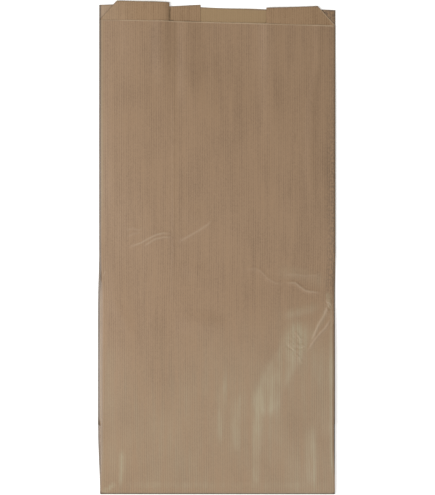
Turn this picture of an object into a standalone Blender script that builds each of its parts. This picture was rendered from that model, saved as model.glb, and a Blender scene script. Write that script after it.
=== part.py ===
"""Flat-folded paper lunch bag: one gusseted sheet with a stepped mouth and a block bottom.

The bag is first drawn standing open, as a box without a lid: X runs across the front, Y from the front panel to the
back panel, and Z up to the mouth. Its walls are cut along their creases and then folded flat, so that the bag lies on
its back: X still runs across, Y runs from the bottom fold to the mouth, and the plies are stacked along Z.
"""

import math

import bmesh
import bpy

# Driving dimensions in metres
WIDTH = 0.130
GUSSET_FOLD = 0.038
MOUTH_HEIGHT = 0.2680
MOUTH_SKEW = 0.0030
FRONT_DROP = 0.0082
GUSSET_RISE = 0.0021
STEP_RUN = 0.0098
PLY = 0.0001
SEAM_EDGE = -0.0092
SEAM_OVERLAP = 0.0130
FLAP_OVERLAP = 0.0080
FLAP_SET_IN = 0.0020

# Lie of the folded plies, in metres
PLY_PITCH = 0.0004
FOLD_REACH = 0.0003
NESTED_FOLD = 0.0005
STEP_WIDTH = 0.0001
BASE_RAMP = 0.030
RIDGE_RISE = 0.0006
POCKET_RISE = 0.0003
SLOT_RISE = 0.0003
CENTRE_RISE = 0.0001
MOUTH_FLARE = 1.6
FLARE_LENGTH = 0.090
FRONT_INSET = 0.0014
INSET_START = 0.105
INSET_RAMP = 0.025
INSET_SPREAD = 0.030

# Counts: rows of faces between the bottom's ramp and the mouth, and plies in each glued part
ROWS_IN_TUBE = 6
PLIES_IN_BASE = 3
PLIES_IN_SEAM = 2

# Sizes that follow from the driving dimensions
DEPTH = 2 * GUSSET_FOLD
HALF_WIDTH = WIDTH / 2
BOX_HEIGHT = MOUTH_HEIGHT + MOUTH_SKEW + GUSSET_RISE
FLAP_HALF = HALF_WIDTH - FLAP_SET_IN
OUTER_FLAP = GUSSET_FOLD + FLAP_OVERLAP
SEAM_OUTER = SEAM_EDGE - SEAM_OVERLAP
NESTED_FADE = GUSSET_FOLD / 2

# Two places closer than this are one, and a wall faces an axis where its normal's share of it is above this
SAME_PLACE = 1e-6
FACES_AXIS = 0.5

KRAFT_COLOUR = (0.35, 0.24, 0.145, 1.0)
KRAFT_ROUGHNESS = 0.6

# Walls of the standing box, and the plies that they become, counted from the top of the folded stack
FRONT = 1
GUSSET_FRONT = 2
GUSSET_BACK = 3
BACK = 4
BACK_TURNED = 5
SIDE_TURNED = 6
SIDE_TRIANGLE = 7
BASE = 8


def clear_scene():
    for thing in list(bpy.data.objects):
        bpy.data.objects.remove(thing)


def smooth(value):
    """Ease a share from 0 to 1."""
    share = min(max(value, 0.0), 1.0)
    return share * share * (3 - 2 * share)


def kraft():
    material = bpy.data.materials.new("kraft_paper")
    material.use_nodes = True
    shader = material.node_tree.nodes["Principled BSDF"]
    shader.inputs["Base Color"].default_value = KRAFT_COLOUR
    shader.inputs["Roughness"].default_value = KRAFT_ROUGHNESS
    shader.inputs["Metallic"].default_value = 0.0
    return material


def cut(sheet, point, normal, faces=None):
    """Score the sheet along a plane, on all of its walls or on some."""
    chosen = list(sheet.faces) if faces is None else faces
    edges = {edge for face in chosen for edge in face.edges}
    corners = {corner for face in chosen for corner in face.verts}
    bmesh.ops.bisect_plane(
        sheet,
        geom=chosen + list(edges) + list(corners),
        dist=SAME_PLACE,
        plane_co=point,
        plane_no=normal,
    )


def side_walls(sheet):
    return [face for face in sheet.faces if abs(face.normal.x) > FACES_AXIS]


def base_wall(sheet):
    return [face for face in sheet.faces if abs(face.normal.z) > FACES_AXIS]


def open_box():
    """The bag standing open: four walls and a base."""
    sheet = bmesh.new()
    bmesh.ops.create_cube(sheet, size=1.0)
    bmesh.ops.scale(sheet, vec=(WIDTH, DEPTH, BOX_HEIGHT), verts=sheet.verts)
    bmesh.ops.translate(sheet, vec=(0, DEPTH / 2, BOX_HEIGHT / 2), verts=sheet.verts)
    lid = [face for face in sheet.faces if face.normal.z > FACES_AXIS]
    bmesh.ops.delete(sheet, geom=lid, context="FACES_ONLY")
    return sheet


def seam_lines():
    """Both edges of the seam's overlap, each as a pair of lines one step apart."""
    half_step = STEP_WIDTH / 2
    return [edge + side * half_step for edge in (SEAM_OUTER, SEAM_EDGE) for side in (-1, 1)]


def score_walls(sheet):
    """Cut every wall along its creases, beside them and midway between them."""
    inner_fold = HALF_WIDTH - GUSSET_FOLD
    across = [0.0, inner_fold / 2, inner_fold, HALF_WIDTH - GUSSET_FOLD / 2, HALF_WIDTH - FOLD_REACH]
    lines = set(seam_lines())
    for place in across:
        lines.update((place, -place))
    for place in sorted(lines):
        cut(sheet, (place, 0, 0), (1, 0, 0))
    half = GUSSET_FOLD
    for place in (FOLD_REACH, STEP_RUN, half / 2, half - FOLD_REACH, half):
        cut(sheet, (0, place, 0), (0, 1, 0))
        cut(sheet, (0, DEPTH - place, 0), (0, 1, 0))
    tube_top = MOUTH_HEIGHT - MOUTH_SKEW - FRONT_DROP - FOLD_REACH
    tube_start = DEPTH + BASE_RAMP
    rows = [FOLD_REACH, half / 2, half - FOLD_REACH, half, half + FOLD_REACH, (half + DEPTH) / 2, DEPTH]
    rows += [DEPTH + BASE_RAMP / 2, tube_start]
    for step in range(1, ROWS_IN_TUBE):
        rows.append(tube_start + (tube_top - tube_start) * step / ROWS_IN_TUBE)
    for row in rows:
        cut(sheet, (0, 0, row), (0, 0, 1))


def score_diagonals(sheet):
    """The bottom creases of the gussets, which run from the base's corners up to the inner folds."""
    for offset in (-FOLD_REACH, 0.0, FOLD_REACH):
        cut(sheet, (0, offset, 0), (0, 1, -1), side_walls(sheet))
        cut(sheet, (0, DEPTH + offset, 0), (0, 1, 1), side_walls(sheet))


def score_base(sheet):
    """The free edges of the bottom's glued flaps, each as a pair of lines one step apart."""
    for step in (-STEP_WIDTH / 2, STEP_WIDTH / 2):
        reach = FLAP_HALF + step
        cut(sheet, (-reach, 0, 0), (1, -1, 0), base_wall(sheet))
        cut(sheet, (reach, 0, 0), (1, 1, 0), base_wall(sheet))
        cut(sheet, (-reach, DEPTH, 0), (1, 1, 0), base_wall(sheet))
        cut(sheet, (reach, DEPTH, 0), (1, -1, 0), base_wall(sheet))
        cut(sheet, (0, OUTER_FLAP + step, 0), (0, 1, 0), base_wall(sheet))


def mouth_line(place):
    """Height of the cut mouth above the base, at a place on the rim of the standing box."""
    level = MOUTH_HEIGHT - MOUTH_SKEW * place.x / WIDTH
    from_front = place.y
    if from_front < STEP_RUN:
        return level - FRONT_DROP + (FRONT_DROP + GUSSET_RISE) * from_front / STEP_RUN
    return level + GUSSET_RISE * (DEPTH - from_front) / (DEPTH - STEP_RUN)


def open_pinholes(sheet):
    """Where four creases meet the folded paper leaves a pinhole: at both inner folds and the base's corners."""
    folds = [(GUSSET_FOLD, GUSSET_FOLD), (DEPTH, 0.0), (0.0, 0.0), (DEPTH, GUSSET_FOLD)]
    holes = []
    for corner in sheet.verts:
        if abs(corner.co.x) > HALF_WIDTH - SAME_PLACE:
            for from_front, height in folds:
                if math.dist(corner.co.yz, (from_front, height)) < SAME_PLACE:
                    holes.append(corner)
    bmesh.ops.delete(sheet, geom=holes, context="VERTS")


def cut_mouth(sheet):
    for corner in sheet.verts:
        if corner.co.z > BOX_HEIGHT - SAME_PLACE:
            corner.co.z = mouth_line(corner.co)


def ply_of(face):
    """Which ply of the folded stack a face of the standing box becomes."""
    place = face.calc_center_median()
    from_front = place.y
    height = place.z
    if abs(face.normal.z) > FACES_AXIS:
        return BASE
    if face.normal.y < -FACES_AXIS:
        return FRONT
    if face.normal.y > FACES_AXIS:
        return BACK if height > GUSSET_FOLD else BACK_TURNED
    if height < min(from_front, DEPTH - from_front):
        return SIDE_TRIANGLE
    if from_front < GUSSET_FOLD:
        return GUSSET_FRONT
    return GUSSET_BACK if height > GUSSET_FOLD else SIDE_TURNED


def folded_place(place, ply):
    """Where a point of the standing box lies across and along the folded bag."""
    side = -1 if place.x < 0 else 1
    from_back = DEPTH - place.y
    if ply == FRONT or ply == BACK:
        return place.x, place.z
    if ply == BACK_TURNED:
        return place.x, DEPTH - place.z
    if ply == BASE:
        return place.x, place.y
    if ply == GUSSET_FRONT:
        return side * (HALF_WIDTH - place.y), place.z
    if ply == GUSSET_BACK:
        return side * (HALF_WIDTH - from_back), place.z
    if ply == SIDE_TURNED:
        return side * (HALF_WIDTH - from_back), DEPTH - place.z
    return side * (HALF_WIDTH - place.z), place.y


def flap_plies(across, along):
    """How many plies thick the glued bottom is at a place."""
    if along < OUTER_FLAP and abs(across) < FLAP_HALF - along:
        return PLIES_IN_BASE
    if abs(across) < FLAP_HALF - (DEPTH - along):
        return PLIES_IN_BASE - 1
    return PLIES_IN_BASE - 2


def seam_shift(across):
    """The back's left half lies inside its right half along the seam, and both are level at the side folds."""
    fade = min((HALF_WIDTH - abs(across)) / GUSSET_FOLD, 1.0)
    if across < SEAM_OUTER:
        return PLY / 2 * fade
    return 0.0 if across < SEAM_EDGE else -PLY / 2 * fade


def stack_height(ply, across, along):
    """Height of a ply's middle plane in the folded bag, before the seam and the front's inset."""
    base_height = PLIES_IN_BASE * PLY
    triangle_height = base_height + PLY_PITCH
    if ply == BASE:
        return base_height - flap_plies(across, along) * PLY / 2
    if ply in (SIDE_TRIANGLE, SIDE_TURNED, BACK_TURNED):
        return triangle_height + (SIDE_TRIANGLE - ply) * PLY_PITCH
    inward = HALF_WIDTH - abs(across)
    share = min(inward / GUSSET_FOLD, 1.0)
    middle = smooth((inward - GUSSET_FOLD) / (HALF_WIDTH - GUSSET_FOLD))
    open_share = smooth((along - GUSSET_FOLD) / DEPTH)
    flare = 1 + MOUTH_FLARE * smooth((along - MOUTH_HEIGHT + FLARE_LENGTH) / FLARE_LENGTH)
    loft = open_share * flare
    on_base = triangle_height + (SIDE_TRIANGLE - BACK) * PLY_PITCH
    on_floor = PLY
    back = on_base + (on_floor - on_base) * smooth((along - DEPTH) / BASE_RAMP)
    if ply == BACK:
        return back
    inner = back + PLY_PITCH + POCKET_RISE * share * loft
    if ply == GUSSET_BACK:
        return inner
    slot = SLOT_RISE * loft * 4 * share * (1 - share)
    front_gusset = inner + PLY_PITCH + slot
    ridge = RIDGE_RISE + (CENTRE_RISE - RIDGE_RISE) * middle
    front = front_gusset + PLY_PITCH + ridge * share * loft
    wedge = min(along / GUSSET_FOLD, 1.0)
    lowest = triangle_height + PLY_PITCH
    if ply == GUSSET_FRONT:
        return lowest + (front_gusset - lowest) * wedge
    return lowest + PLY_PITCH + (front - lowest - PLY_PITCH) * wedge


def inset_at(ply, across, along):
    """How far the front's side fold, and the plies that hang on it, lie in from the back's side fold."""
    inward = HALF_WIDTH - abs(across)
    inset = FRONT_INSET * smooth((INSET_START - along) / INSET_RAMP) * smooth(along / INSET_RAMP)
    if ply in (FRONT, GUSSET_FRONT):
        return inset * max(0.0, 1 - inward / INSET_SPREAD)
    if ply == SIDE_TRIANGLE and along > 0:
        return inset * max(0.0, 1 - along / INSET_SPREAD) * inward / along
    return 0.0


def lie(ply, across, along):
    """A ply's place in the folded bag, with its seam, its nested crease and the front's inset."""
    height = stack_height(ply, across, along)
    side = -1 if across < 0 else 1
    across_at = across - side * inset_at(ply, across, along)
    if ply == BACK:
        height += seam_shift(across)
    if ply == BACK_TURNED:
        height -= seam_shift(across)
    if ply in (BACK, BACK_TURNED):
        along += NESTED_FOLD * max(0.0, 1 - (along - GUSSET_FOLD) / NESTED_FADE)
    return across_at, along, height


def fold_flat(sheet):
    """Move every corner to its place in the folded bag; a corner on a crease lies between its plies."""
    sheet.normal_update()
    plies = {face: ply_of(face) for face in sheet.faces}
    places = {}
    weights = {}
    for corner in sheet.verts:
        around = sorted({plies[face] for face in corner.link_faces})
        lies = [lie(ply, *folded_place(corner.co, ply)) for ply in around]
        places[corner] = [sum(values) / len(lies) for values in zip(*lies)]
        weights[corner] = 1 / PLIES_IN_BASE
        if around == [BASE]:
            weights[corner] = flap_plies(corner.co.x, corner.co.y) / PLIES_IN_BASE
        in_seam = SEAM_OUTER < corner.co.x < SEAM_EDGE
        if in_seam and set(around) <= {BACK, BACK_TURNED}:
            weights[corner] = PLIES_IN_SEAM / PLIES_IN_BASE
    for corner, place in places.items():
        corner.co = place
    return weights


def centre(sheet):
    along = [corner.co.y for corner in sheet.verts]
    middle = (min(along) + max(along)) / 2
    bmesh.ops.translate(sheet, vec=(0, -middle, 0), verts=sheet.verts)


def make_bag():
    sheet = open_box()
    score_walls(sheet)
    score_diagonals(sheet)
    score_base(sheet)
    open_pinholes(sheet)
    cut_mouth(sheet)
    weights = fold_flat(sheet)
    centre(sheet)
    sheet.verts.index_update()
    shares = [weights[corner] for corner in sheet.verts]
    mesh = bpy.data.meshes.new("paper_bag")
    sheet.to_mesh(mesh)
    sheet.free()
    bag = bpy.data.objects.new("paper_bag", mesh)
    bpy.context.collection.objects.link(bag)
    mesh.materials.append(kraft())
    group = bag.vertex_groups.new(name="plies")
    for index, share in enumerate(shares):
        group.add([index], share, "REPLACE")
    wall = bag.modifiers.new("wall", "SOLIDIFY")
    wall.thickness = PLIES_IN_BASE * PLY
    wall.offset = 0.0
    wall.vertex_group = group.name
    return bag


clear_scene()
make_bag()
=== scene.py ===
"""A ribbed kraft lunch bag, folded flat and lying on its back on a pale table.

The bag is drawn standing open, as a box without a lid, and then folded. Before folding, X runs across the
front, Y from the front panel to the back panel and Z up to the mouth. After it, X still runs across, Y runs
from the bottom fold to the mouth, and the plies are stacked along Z. Sizes are in metres, apart from the
tables that say millimetres.
"""

import math

import bmesh
import bpy
from bpy.props import FloatProperty, FloatVectorProperty, PointerProperty
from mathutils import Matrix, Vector, noise


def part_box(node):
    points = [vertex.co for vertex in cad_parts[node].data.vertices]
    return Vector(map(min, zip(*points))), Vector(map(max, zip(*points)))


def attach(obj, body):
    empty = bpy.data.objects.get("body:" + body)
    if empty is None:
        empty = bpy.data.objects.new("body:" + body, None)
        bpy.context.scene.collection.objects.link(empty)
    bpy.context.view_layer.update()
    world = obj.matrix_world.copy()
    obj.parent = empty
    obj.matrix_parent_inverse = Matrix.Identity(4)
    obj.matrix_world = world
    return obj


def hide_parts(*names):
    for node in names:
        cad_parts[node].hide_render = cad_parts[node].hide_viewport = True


bl_info = {
    "name": "Kraft Lunch Bag",
    "version": (1, 0, 0),
    "blender": (4, 5, 0),
    "location": "View3D > Sidebar > Lunch Bag",
    "description": "Folds a ribbed kraft lunch bag flat and sets it on a pale table",
    "category": "Add Mesh",
}

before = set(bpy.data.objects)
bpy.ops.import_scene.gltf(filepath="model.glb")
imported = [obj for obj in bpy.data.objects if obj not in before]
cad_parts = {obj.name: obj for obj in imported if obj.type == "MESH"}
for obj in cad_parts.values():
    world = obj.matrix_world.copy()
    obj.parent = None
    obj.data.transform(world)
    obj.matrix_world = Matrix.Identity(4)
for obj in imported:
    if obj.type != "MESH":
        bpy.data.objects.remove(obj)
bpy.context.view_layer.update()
BAG_LOW, BAG_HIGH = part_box("paper_bag")

# The picture's scale and height, the place on the bag in its middle, and the sensor's height in millimetres
METRES_PER_PIXEL = 0.0005509
PICTURE_PIXELS = 495
PICTURE_MIDDLE = (0.0001, 0.0)
SENSOR_HEIGHT = 36.0

# Places of the two lamps, what they are turned to, their widths and their colours
WINDOW = ((-0.52, -0.09, 0.60), (0.0, 0.0, 0.0), 0.38, (1.0, 0.985, 0.96))
LOW_SHEEN = ((0.26, -0.34, 0.88), (0.0, -0.06, 0.0), 0.35, (1.0, 1.0, 0.93))

# Places closer than this are one, and a wall faces an axis, or an edge follows it, by at least these shares
SAME_PLACE = 1e-6
FACES_AXIS = 0.5
FOLLOWS_AXIS = 0.99
MILLIMETRE = 0.001

# The front's mesh is halved this far beyond its creases' flanks, once and once more
CREASE_MARGINS = (0.0008, 0.0)
SHARP_ANGLE = math.radians(40)

# Where the back panel and the sides lie across the unfolded sheet, with the front's middle at 0
BACK_ON_SHEET = 0.5
RIGHT_SIDE_ON_SHEET = 0.8
LEFT_SIDE_ON_SHEET = 1.1

# Places between the walls on the sheet: this far beyond the front's middle, and this far before a side's start
SHEET_GAP = 0.1

# Plies of the folded stack, counted from its top
FRONT = 1
GUSSET_FRONT = 2
GUSSET_BACK = 3
BACK = 4
BACK_TURNED = 5
SIDE_TURNED = 6
SIDE_TRIANGLE = 7
BASE = 8

# Strokes on the front panel, in millimetres across from its middle and along from the bottom fold: points,
# rise or strength, and half width, or two of them for the left and the right of the way the points run
CREASES = {
    "left_kink": (
        ((-49.2, 135.6), (-41.5, 138.6), (-37.6, 140.8), (-33.2, 143), (-29.4, 143.8), (-24.4, 143.8)),
        0.32, 1.6,
    ),
    "left_kink_echo": (
        ((-40.9, 136.1), (-37.1, 138.6), (-33.8, 140.6), (-29.4, 141.6), (-23.8, 141.7)),
        0.26, 1.2, 1.4,
    ),
    "left_crumple": (((-50.3, 144.9), (-46.4, 146.6), (-43.1, 145.5), (-39.8, 147.1)), 0.12, 1.2),
    "left_crumple_low": (((-49.7, 141.6), (-45.3, 143.6), (-40.9, 144.4)), 0.12, 1.2),
    "middle_hook": (
        ((-22.2, 138.3), (-14.5, 142.7), (-10.1, 145.2), (-5.1, 148.5), (-1.8, 152.1)),
        0.27, 2.4, 5,
    ),
    "right_wave": (
        ((13.6, 123.5), (21.3, 124.3), (24.6, 122.4), (27.9, 118.8), (32.3, 116.3), (39, 116.3)),
        0.12, 2, 2.6,
    ),
    "right_bow": (
        ((36.9, 116.6), (43.4, 116.4), (45.6, 114.6), (48.9, 112.3), (52.2, 111.6), (58.6, 111.1)),
        0.32, 1.4, 2.2,
    ),
    "right_upper": (
        ((35.1, 119), (39.5, 121.5), (48.9, 120.4), (54.9, 120.7), (59.3, 122.9)),
        0.12, 1.8, 2.4,
    ),
    "ray_long": (
        ((62.8, 106), (60.1, 99.1), (57.4, 95.1), (55.5, 91.1), (54, 87.5), (51.4, 82.5)),
        0.32, 3, 1.4,
    ),
    "ray_low": (
        ((64.4, 98.4), (61.6, 93.6), (60.2, 91.6), (58, 89.7), (56.5, 87.8), (54.6, 85.5), (52.4, 82.5),
         (49.6, 78.4)),
        0.36, 2.2, 1,
    ),
    "crumple_top": (((42.8, 89.9), (45, 87.4), (47.8, 84.3)), 0.18, 1.2),
    "crumple_middle": (((37.9, 82.7), (40.6, 80.2), (43.9, 81)), -0.16, 1.4),
    "crumple_bottom": (((43.4, 77.7), (45.6, 75.3), (47.2, 72.2)), 0.14, 1.2),
    "left_nick": (((-63.5, 119.6), (-60.8, 123.5)), 0.1, 1.2),
}

# Round ridges in the same form; the upper ones run off the mouth
RIDGES = {
    "left_gusset_ridge": (((-31, 222), (-31, 300)), 0.34, 6, 8),
    "left_middle_ridge": (((-16.4, 206), (-16.4, 300)), 0.62, 7, 11),
    "right_gusset_ridge": (((29.2, 180), (27.9, 300)), 0.28, 6.2, 8),
    "right_edge_ridge": (((50.4, 150), (51.6, 215), (55.6, 238), (56.4, 300)), 0.34, 3.2, 3.4),
    "right_arc": (((36.8, 98.4), (46.7, 101.4), (57.1, 104.5)), 0.2, 3.4),
    "left_mark": (((-60.2, 109.1), (-51.4, 95.9), (-43.7, 82.7)), 0.09, 4.6),
    "band_ridge": (((49.4, 87.1), (40.6, 69.5), (30.1, 50.7), (24.6, 38.6)), 0.26, 8),
    "centre_streak": (((22.7, 5.6), (22.7, 45.2)), 0.07, 2.6),
    "far_streak": (((53.6, 6.1), (53, 38.6)), 0.06, 2.8),
    "left_streak": (((-51.4, 6.7), (-51.4, 24.8)), 0.06, 2.3),
    "middle_streak": (((2, 26), (2.6, 51.3)), 0.05, 2.2),
}

# Where the glaze lowers the roughness and a painted sheen lightens the colour, in the same form
GLAZE_AND_SHEEN_STROKES = {
    "slant_band": (
        ((46.5, 98), (43.4, 84.5), (39.7, 76.6), (35, 69), (30.2, 60), (27.6, 51), (25, 40)),
        1.75, 9.5,
    ),
    "centre_streak": (((23, 60), (22.2, 29.8), (22, 3)), 0.8, 2.8),
    "centre_streak_low": (((21.6, 46), (21.8, 2)), 1, 2.6),
    "far_streak": (((52.6, 42), (52.2, 2)), 0.7, 4),
    "left_streak": (((-53, 26), (-53.4, 3)), 0.55, 3),
    "corner_glint": (((-64.2, 0.4), (-56, 6.4)), 1.2, 1.6),
    "edge_nick": (((61.6, 112), (63.4, 101)), 0.9, 2.2),
    "bottom_band": (((-70.1, 5.2), (70.4, 4.9)), 0.18, 2.6),
    "left_side": (((-59, 90), (-59, 5)), 0.12, 5),
    "left_upper_line": (((-63.6, 130), (-63.6, 300)), 0.55, 1),
    "right_lower_line": (((63.6, 118), (63.6, 0)), 0.75, 1),
    "middle_streak": (((4.2, 66.2), (2.6, 50.7), (1.5, 25.9)), 0.4, 2.8),
    "middle_streak_right": (((12, 57.9), (10.3, 38.6), (11.4, 21)), 0.45, 3.4),
    "upper_right_patch": (((31, 123), (46, 121), (63.5, 115.5)), 0.22, 5.5),
    "lower_right_patch": (((34, 96.5), (46, 100.5), (59, 104)), 0.36, 4.6, 3.6),
    "ray_glow": (((62.6, 105), (51.1, 83.2)), 0.3, 2.2),
}

# Soft dents and swells, in millimetres: centre across and along, half width across and along, rise
SWELLS = {
    "middle_swell": (-7.9, 93.8, 16.0, 8.5, 0.50),
    "inner_swell": (-12.3, 123.0, 8.0, 6.0, 0.22),
    "upper_swell": (-14.0, 154.0, 6.5, 6.5, 0.14),
    "right_edge_dent": (63.2, 106.2, 2.8, 3.0, 0.35),
}

# Where the paper is finely crumpled, in the same form without a rise
CRUMPLED = (
    (43.4, 82.0, 9.0, 12.0),
    (62.4, 104.0, 3.4, 8.0),
)

# The paper's patterns: waves a metre across and along the sheet, detail, and how far each shades the colour
PAPER_PATTERNS = {
    "wander": (120, 14, 3.0, 0.08),
    "streak": (420, 26, 3.0, 0.17),
    "fibre": (1900, 1100, 2.0, 0.20),
    "fleck": (620, 420, 2.0, 0.10),
    "mottle": (46, 40, 4.0, 0.14),
}

# Patterns of single features: waves a metre across and along, then detail and roughness where they are set
RIB_FADE = (160, 30, 2.0)
GLAZE_AND_SHEEN_PATCHES = (34, 22, 3.0, 0.6)
PRESS_ZIGZAG = (30, 330)
SPECKLE = (1100, 700, 1.0)
CRUMPLE = (640, 640, 1.0)

# Noise keeps mostly between these values
NOISE_LOW = 0.30
NOISE_HIGH = 0.70

# The ribs: how far they wander, in radians, their least strength, their shade and the paper's even shade
RIB_WANDER = 1.4
RIB_WEAKEST = 0.25
RIB_SHADE = -0.28
EVEN_SHADE = 0.19

# Heights of the surface's features, and how far the roughness strays
FIBRE_HEIGHT = 0.000018
STREAK_HEIGHT = 0.00002
PRESS_HEIGHT = 0.00006
CRUMPLE_HEIGHT = 0.00040
STREAK_ROUGHNESS = 0.04
MOTTLE_ROUGHNESS = 0.03

# How the glaze and its painted sheen spread over patches and streaks, their share on the ribs, how strongly
# the painted sheen shows, and how strongly the crests' paleness and painted light show
GLAZE_AND_SHEEN_BY_PATCH = (0.40, 1.60)
GLAZE_AND_SHEEN_BY_STREAK = (0.35, 1.65)
STREAK_RANGE = (0.25, 0.75)
GLAZE_AND_SHEEN_ON_RIBS = 0.35
PAINTED_SHEEN_SHARE = 0.75
CREST_AND_PAINTED_LIGHT_SHARE = 1.6

# The line that the left inner fold presses through the front: its wander, width and start along the bag
PRESS_WANDER = 0.0014
PRESS_WIDTH = (0.0002, 0.0010)
PRESS_FROM = (0.090, 0.130)

# The dark speckle, wear at the right fold and painted shade in the right corner: its spread and strength, then
# where it lies at the right fold and in the right corner
SPECKLE_RANGE = (0.44, 0.56)
SPECKLE_SHADE = 0.45
EDGE_ACROSS = (0.0590, 0.0635)
EDGE_FROM = (0.104, 0.118)
EDGE_TO = (0.185, 0.230)
EDGE_LEFT_OVER = 0.3
CORNER_ACROSS = 0.060
CORNER_FROM = (0.240, 0.250)
CORNER_SHADE = 1.2

# The inside: painted light that makes the back's right half paler and yellower, and painted light on a paler
# strip of the left gusset beside the front
PAINTED_LIGHT_HALF_SHARE = 0.7
STRIP_ACROSS = (0.004, 0.022)
STRIP_PAINTED_LIGHT = 0.35
INSIDE_SPECULAR = 0.3

# Widths and shares of the pale cut edge and of the painted shade at the cut, then of the folds' darkening,
# partly wear and partly painted shade
CUT_WIDTH = (0.0002, 0.0008)
CUT_SHADE = 0.9
CUT_PAINTED_SHADE = 0.6
FOLD_WIDTH = (0.0003, 0.0013)
FOLD_SHADE = 0.95


class BagSizes(bpy.types.PropertyGroup):
    """Sizes of the folded bag."""

    gusset_fold: FloatProperty(
        name="Gusset fold", description="How far each side folds in", default=0.038, unit="LENGTH"
    )
    mouth_height: FloatProperty(
        name="Mouth height", description="Back panel from the bottom to the mouth", default=0.2680,
        unit="LENGTH"
    )
    mouth_skew: FloatProperty(
        name="Mouth skew", description="Fall of the cut mouth from left to right", default=0.0030,
        unit="LENGTH"
    )
    front_drop: FloatProperty(
        name="Front drop", description="How much lower the front panel is cut", default=0.0082,
        unit="LENGTH"
    )
    gusset_rise: FloatProperty(
        name="Gusset rise", description="How much higher the gussets stand than the back", default=0.0021,
        unit="LENGTH"
    )
    step_run: FloatProperty(
        name="Step run", description="Length of the slant at the mouth's corners", default=0.0098,
        unit="LENGTH"
    )
    ply: FloatProperty(name="Ply", description="Thickness of the paper", default=0.0001, unit="LENGTH")
    seam_edge: FloatProperty(
        name="Seam edge", description="Place across of the back seam's inner edge", default=-0.0092,
        unit="LENGTH"
    )
    seam_overlap: FloatProperty(
        name="Seam overlap", description="Width of the glued back seam", default=0.0130, unit="LENGTH"
    )
    seam_lift: FloatProperty(
        name="Seam lift", description="How much higher the back's left half is at the seam",
        default=0.0013, unit="LENGTH"
    )
    flap_overlap: FloatProperty(
        name="Flap overlap", description="How far the bottom flap passes the middle", default=0.0080,
        unit="LENGTH"
    )
    flap_set_in: FloatProperty(
        name="Flap set in", description="How far the flap's ends start from the corners", default=0.0020,
        unit="LENGTH"
    )
    ply_pitch: FloatProperty(
        name="Ply pitch", description="Spacing of the stacked plies", default=0.0003, unit="LENGTH"
    )
    fold_reach: FloatProperty(
        name="Fold reach", description="Depth of each rounded fold", default=0.0003, unit="LENGTH"
    )
    front_inset: FloatProperty(
        name="Front inset", description="How far the front's lower side folds lie in", default=0.0017,
        unit="LENGTH"
    )
    wall_pitch: FloatProperty(
        name="Mesh pitch", description="Grid spacing of the hidden walls", default=0.0045, unit="LENGTH"
    )
    front_pitch: FloatProperty(
        name="Front mesh pitch", description="Grid spacing of the front panel", default=0.00160,
        unit="LENGTH"
    )
    cut_wander: FloatProperty(
        name="Cut wander", description="How far the cut mouth strays from its line", default=0.00030,
        unit="LENGTH"
    )
    waviness: FloatProperty(
        name="Waviness", description="Height of the paper's slight waves", default=0.00026, unit="LENGTH"
    )
    sway: FloatProperty(
        name="Sway", description="How far the bag's lower part lies to the left", default=0.00046,
        unit="LENGTH"
    )
    corner_tuck: FloatProperty(
        name="Corner tuck", description="How far the lower left corner lies in", default=0.0011,
        unit="LENGTH"
    )


class KraftFinish(bpy.types.PropertyGroup):
    """Colours and surface of the ribbed kraft."""

    paper: FloatVectorProperty(
        name="Paper", description="Colour of the kraft", subtype="COLOR", size=3,
        default=(0.322, 0.206, 0.119)
    )
    dark_fibre: FloatVectorProperty(
        name="Dark fibre", description="Colour of the darker fibres", subtype="COLOR", size=3,
        default=(0.195, 0.118, 0.064)
    )
    # Painted sheen: a paler, greener colour that stands in for the glaze's reflection
    painted_sheen: FloatVectorProperty(
        name="Shine", description="Colour of the paper where its glaze shows", subtype="COLOR", size=3,
        default=(0.374, 0.302, 0.198)
    )
    inside: FloatVectorProperty(
        name="Inside", description="Colour of the bag's unglazed inside", subtype="COLOR", size=3,
        default=(0.335, 0.217, 0.124)
    )
    # Painted light: the back's right half is paler and yellower, as if lit
    painted_lit_inside: FloatVectorProperty(
        name="Pale inside", description="Yellower inside of the back's right half", subtype="COLOR",
        size=3, default=(0.345, 0.240, 0.130)
    )
    cut_edge: FloatVectorProperty(
        name="Cut edge", description="Pale fibres of the cut mouth", subtype="COLOR", size=3,
        default=(0.520, 0.385, 0.255)
    )
    # Darker folds: partly wear and partly painted shade
    worn_and_shaded_fold: FloatVectorProperty(
        name="Worn fold", description="Darker paper along the folds", subtype="COLOR", size=3,
        default=(0.110, 0.076, 0.050)
    )
    # Paler crease crests, partly crease whitening and partly painted highlight, and painted light on the left
    # gusset
    pale_crest_and_painted_light: FloatVectorProperty(
        name="Pressed fold", description="Paler line beside the folds", subtype="COLOR", size=3,
        default=(0.420, 0.310, 0.215)
    )
    rib_pitch: FloatProperty(
        name="Rib pitch", description="Spacing of the ribs", default=0.00127, unit="LENGTH"
    )
    rib_depth: FloatProperty(
        name="Rib depth", description="Height of the ribs", default=0.000013, unit="LENGTH", precision=6
    )
    glazed_roughness: FloatProperty(
        name="Glazed roughness", description="Roughness where the glaze shows", default=0.36
    )
    roughness: FloatProperty(name="Roughness", description="Roughness of the outside", default=0.46)
    inside_roughness: FloatProperty(
        name="Inside roughness", description="Roughness of the inside", default=0.70
    )
    specular_level: FloatProperty(
        name="Specular level", description="Strength of the outside's reflection", default=0.6
    )
    inner_fold: FloatProperty(
        name="Inner fold", description="Place across of the line that the inner folds press",
        default=0.0242, unit="LENGTH"
    )


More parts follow.
